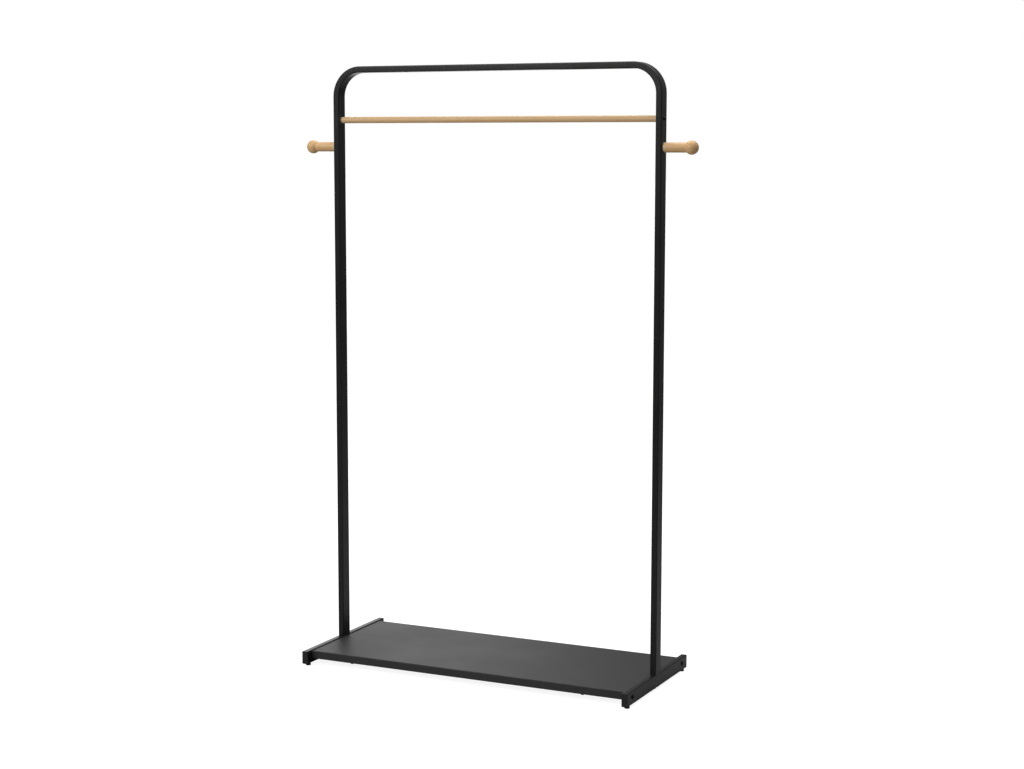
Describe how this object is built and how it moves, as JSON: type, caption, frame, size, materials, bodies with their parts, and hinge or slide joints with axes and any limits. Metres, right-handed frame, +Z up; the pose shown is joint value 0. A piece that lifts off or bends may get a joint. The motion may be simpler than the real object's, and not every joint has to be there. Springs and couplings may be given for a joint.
{
  "type": "standing coat rack",
  "caption": "Free-standing coat rack: bent rectangular tube hoop on foot rails, low steel deck, wooden hanging rod and ball-ended side pegs.",
  "frame": {"origin": "on the floor under the middle of the rack", "axes": "+X to the right along the hanging rod, +Y to the back, +Z up"},
  "size_m": [1.074, 0.398, 1.525],
  "materials": {
    "black_powder_coat": "satin black powder coat",
    "deck_powder_coat": "satin dark grey-black powder coat",
    "rod_wood": "light wood, clear satin lacquer",
    "peg_wood": "light wood, clear satin lacquer",
    "cap_plastic": "fine moulded texture",
    "pad_nylon": "smooth nylon",
    "zinc_plate": "bright zinc plate",
    "black_screws": "black oxide"
  },
  "bodies": {
    "rack": {"frame_hoop": "black_powder_coat", "foot_rail_left": "black_powder_coat", "foot_rail_right": "black_powder_coat", "cross_tube_front": "black_powder_coat", "cross_tube_rear": "black_powder_coat", "deck": "deck_powder_coat", "hanging_rod": "rod_wood", "peg_left": "peg_wood", "peg_right": "peg_wood", "end_cap_front_left": "cap_plastic", "end_cap_rear_left": "cap_plastic", "end_cap_front_right": "cap_plastic", "end_cap_rear_right": "cap_plastic", "foot_rivet_nuts": "zinc_plate", "peg_rivet_nuts": "zinc_plate", "peg_studs": "zinc_plate", "cross_tube_nuts": "zinc_plate", "deck_weld_nuts": "zinc_plate", "upright_plug_left": "zinc_plate", "upright_plug_right": "zinc_plate", "upright_bolts": "black_screws", "cross_bolts": "black_screws", "deck_screws": "black_screws", "rod_screws": "black_screws"},
    "foot_front_left": {"foot_pad_front_left": "pad_nylon", "foot_stud_front_left": "zinc_plate"},
    "foot_rear_left": {"foot_pad_rear_left": "pad_nylon", "foot_stud_rear_left": "zinc_plate"},
    "foot_front_right": {"foot_pad_front_right": "pad_nylon", "foot_stud_front_right": "zinc_plate"},
    "foot_rear_right": {"foot_pad_rear_right": "pad_nylon", "foot_stud_rear_right": "zinc_plate"}
  },
  "joints": [
    {"name": "level_front_left", "type": "slide", "parent": "rack", "child": "foot_front_left", "axis": [0, 0, -1], "range_m": [0, 0.008]},
    {"name": "level_rear_left", "type": "slide", "parent": "rack", "child": "foot_rear_left", "axis": [0, 0, -1], "range_m": [0, 0.008]},
    {"name": "level_front_right", "type": "slide", "parent": "rack", "child": "foot_front_right", "axis": [0, 0, -1], "range_m": [0, 0.008]},
    {"name": "level_rear_right", "type": "slide", "parent": "rack", "child": "foot_rear_right", "axis": [0, 0, -1], "range_m": [0, 0.008]}
  ]
}
